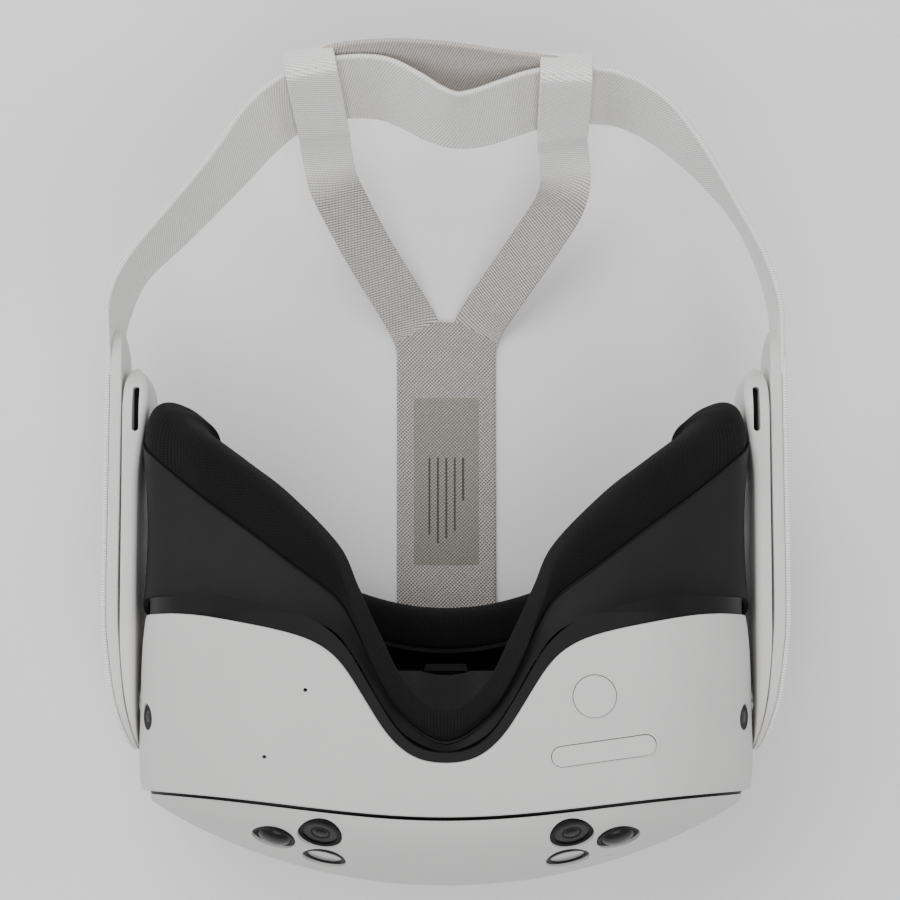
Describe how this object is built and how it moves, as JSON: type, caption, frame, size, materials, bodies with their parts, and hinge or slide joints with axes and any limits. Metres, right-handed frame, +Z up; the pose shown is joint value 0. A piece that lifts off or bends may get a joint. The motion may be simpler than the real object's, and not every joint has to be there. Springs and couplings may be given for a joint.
{
  "type": "vr headset",
  "caption": "Standalone head-worn display with domed front cover, nose notch, padded facial interface, side arms and a split elastic strap, lying on its top.",
  "frame": {"origin": "on the flat of the visor's top shell, on its middle line, where the headset lies on a table", "axes": "+Z up from the table towards the wearer's chin side, -Y towards the visor's front, +Y back along the straps, +X to the wearer's right"},
  "size_m": [0.1885, 0.2367, 0.0945],
  "materials": {
    "white_plastic": "fine matte moulded plastic",
    "black_plastic": "satin black moulded plastic",
    "grey_plastic": "satin dark grey plastic",
    "cushion_fabric": "fine black knit over foam",
    "strap_fabric": "woven elastic strap",
    "patch_film": "thin matt heat-transfer film",
    "dark_glass": "black polished window",
    "pale_glass": "polished clear",
    "metal": "bright steel",
    "heat_metal": "bead-blasted",
    "mesh_metal": "black painted mesh",
    "board": "green solder mask",
    "display": "dark panel",
    "battery_wrap": "dark wrap"
  },
  "bodies": {
    "visor": {"battery": "battery_wrap", "board_screws": "metal", "button_switches": "metal", "camera_bezels": "black_plastic", "camera_modules": "black_plastic", "camera_windows": "dark_glass", "display_bracket": "metal", "display_panel": "display", "face_cushion": "cushion_fabric", "fan_housing": "black_plastic", "front_cover": "white_plastic", "front_gasket": "black_plastic", "heat_sink": "heat_metal", "infrared_windows": "pale_glass", "inner_chassis": "black_plastic", "interface_frame": "grey_plastic", "ipd_rails": "metal", "lens_deck": "black_plastic", "main_shell": "white_plastic", "mainboard": "board", "microphones": "black_plastic", "proximity_window": "black_plastic", "side_cameras": "dark_glass", "status_light": "pale_glass", "strap_anchor": "black_plastic", "strap_patch": "patch_film", "top_strap": "strap_fabric", "usb_port": "metal"},
    "headband": {"audio_arm_left": "white_plastic", "audio_arm_right": "white_plastic", "strap_arm_left": "white_plastic", "strap_arm_right": "white_plastic", "arm_sleeve_left": "strap_fabric", "arm_sleeve_right": "strap_fabric", "speakers": "black_plastic", "speaker_grilles": "mesh_metal", "pivot_pins": "metal", "back_band": "strap_fabric", "rear_band": "strap_fabric", "strap_loop_left": "strap_fabric", "strap_loop_right": "strap_fabric", "strap_leg_left": "strap_fabric", "strap_leg_right": "strap_fabric"},
    "lens_unit_left": {"lens_barrel_left": "black_plastic", "lens_left": "pale_glass"},
    "lens_unit_right": {"lens_barrel_right": "black_plastic", "lens_right": "pale_glass"},
    "volume_key": {"volume_rocker": "white_plastic"},
    "action_key": {"action_button": "white_plastic"},
    "power_key": {"power_button": "white_plastic"},
    "fan": {"fan_impeller": "black_plastic"}
  },
  "joints": [
    {"name": "headband_tilt", "type": "hinge", "parent": "visor", "child": "headband", "pos_m": [0, 0.008, 0.048], "axis": [1, 0, 0], "range_deg": [-20, 20], "deforming": ["top_strap", "strap_leg_left", "strap_leg_right"]},
    {"name": "eye_distance_right", "type": "slide", "parent": "visor", "child": "lens_unit_right", "axis": [1, 0, 0], "range_m": [-0.0025, 0.0025]},
    {"name": "eye_distance_left", "type": "slide", "parent": "visor", "child": "lens_unit_left", "axis": [1, 0, 0], "range_m": [-0.0025, 0.0025]},
    {"name": "volume_rock", "type": "hinge", "parent": "visor", "child": "volume_key", "pos_m": [0.0415, -0.0046, 0.08645], "axis": [-0.1351, 0.9612, 0.2403], "range_deg": [-1.5, 1.5], "stiffness_Nm_per_rad": 0.15},
    {"name": "action_press", "type": "slide", "parent": "visor", "child": "action_key", "axis": [0, 0.1961, -0.9806], "range_m": [0, 0.0005], "stiffness_N_per_m": 400},
    {"name": "power_press", "type": "slide", "parent": "visor", "child": "power_key", "axis": [-1, 0, 0], "range_m": [0, 0.0005], "stiffness_N_per_m": 400},
    {"name": "fan_spin", "type": "hinge", "parent": "visor", "child": "fan", "pos_m": [0, -0.026, 0.0435], "axis": [0, 1, 0], "continuous": true}
  ],
  "couplings": [
    {"joint": "eye_distance_left", "follows": "eye_distance_right", "ratio": -1}
  ]
}
